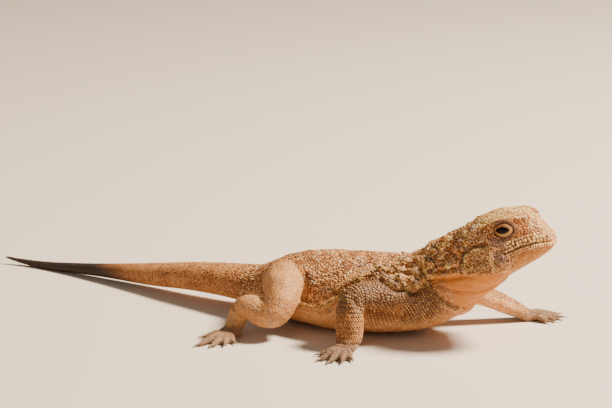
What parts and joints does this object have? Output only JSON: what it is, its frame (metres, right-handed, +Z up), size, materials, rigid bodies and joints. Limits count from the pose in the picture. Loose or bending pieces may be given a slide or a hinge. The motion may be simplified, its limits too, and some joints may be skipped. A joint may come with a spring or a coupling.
{
  "type": "toad-headed agama lizard",
  "caption": "Life-size desert lizard lying on its belly, head raised, with fringed toes, a mouth-corner flap and a tapering dark-tipped tail.",
  "frame": {"origin": "middle of the animal's footprint, on the floor that its belly, hands and feet rest on", "axes": "+X towards the head along the body, +Y towards its left side, +Z up"},
  "size_m": [0.207, 0.0918, 0.0432],
  "materials": {
    "head": "dry matt scales",
    "eye_left": "wet gloss",
    "eye_right": "wet gloss",
    "neck": "dry matt scales",
    "torso": "dry matt scales",
    "tail_base": "dry matt scales",
    "tail_middle": "dry matt scales",
    "tail_tip": "dry matt scales",
    "upper_arm_right": "dry matt scales",
    "forearm_right": "dry matt scales",
    "hand_right": "dry matt scales",
    "upper_arm_left": "dry matt scales",
    "forearm_left": "dry matt scales",
    "hand_left": "dry matt scales",
    "thigh_right": "dry matt scales",
    "shank_right": "dry matt scales",
    "foot_right": "dry matt scales",
    "thigh_left": "dry matt scales",
    "shank_left": "dry matt scales",
    "foot_left": "dry matt scales"
  },
  "bodies": {
    "root": {"head": "head", "eye_left": "eye_left", "eye_right": "eye_right", "neck": "neck", "torso": "torso", "tail_base": "tail_base", "tail_middle": "tail_middle", "tail_tip": "tail_tip", "upper_arm_right": "upper_arm_right", "forearm_right": "forearm_right", "hand_right": "hand_right", "upper_arm_left": "upper_arm_left", "forearm_left": "forearm_left", "hand_left": "hand_left", "thigh_right": "thigh_right", "shank_right": "shank_right", "foot_right": "foot_right", "thigh_left": "thigh_left", "shank_left": "shank_left", "foot_left": "foot_left"}
  },
  "joints": []
}
